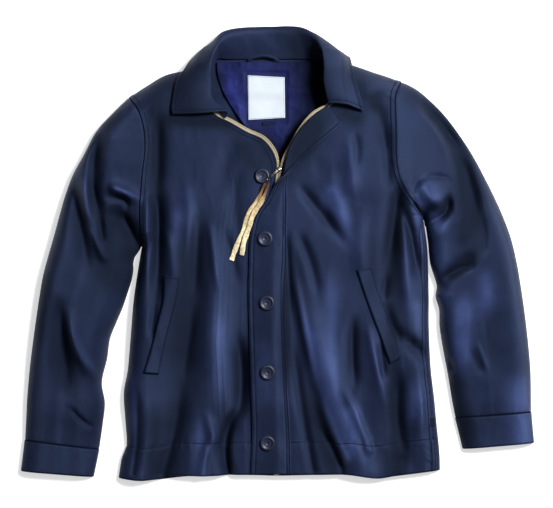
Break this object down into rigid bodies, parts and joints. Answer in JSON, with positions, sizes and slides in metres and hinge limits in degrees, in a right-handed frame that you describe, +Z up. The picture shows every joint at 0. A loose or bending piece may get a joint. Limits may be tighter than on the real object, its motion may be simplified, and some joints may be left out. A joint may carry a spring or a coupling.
{
  "type": "utility jacket",
  "caption": "Navy cotton utility jacket laid flat on its back, collar spread, zip part open under a buttoned fly placket, with a cream lace on the zip pull.",
  "frame": {"origin": "centre of the bounding box's underside, on the surface that the jacket lies on", "axes": "+X towards the wearer's left sleeve, +Y towards the collar, +Z up, away from the surface"},
  "size_m": [0.877, 0.7761, 0.0659],
  "materials": {
    "navy_cotton": "satin",
    "blue_lining": "matte",
    "label_white": "matte",
    "zip_brass": "satin",
    "tan_lace": "matte",
    "button_navy": "satin"
  },
  "bodies": {
    "jacket": {"back_panel": "navy_cotton", "front_right": "navy_cotton", "front_left": "navy_cotton", "sleeve_right": "navy_cotton", "sleeve_left": "navy_cotton", "cuff_right": "navy_cotton", "cuff_left": "navy_cotton", "collar": "navy_cotton", "placket": "navy_cotton", "facing_right": "navy_cotton", "facing_left": "navy_cotton", "welt_right": "navy_cotton", "welt_left": "navy_cotton", "back_lining": "blue_lining", "hanger_loop": "blue_lining", "neck_label": "label_white", "size_tab": "label_white", "side_tab": "label_white", "zip_tape_right": "zip_brass", "zip_tape_left": "zip_brass", "zip_slider": "zip_brass", "lace_long": "tan_lace", "lace_short": "tan_lace", "button_1": "button_navy", "button_2": "button_navy", "button_3": "button_navy", "button_4": "button_navy", "button_5": "button_navy"},
    "pull": {"zip_pull": "zip_brass"}
  },
  "joints": [
    {"name": "zip_pull_hinge", "type": "hinge", "parent": "jacket", "child": "pull", "pos_m": [-0.00072, 0.14364, 0.04163], "axis": [-0.6561, 0.7547, 0], "range_deg": [0, 120]}
  ]
}
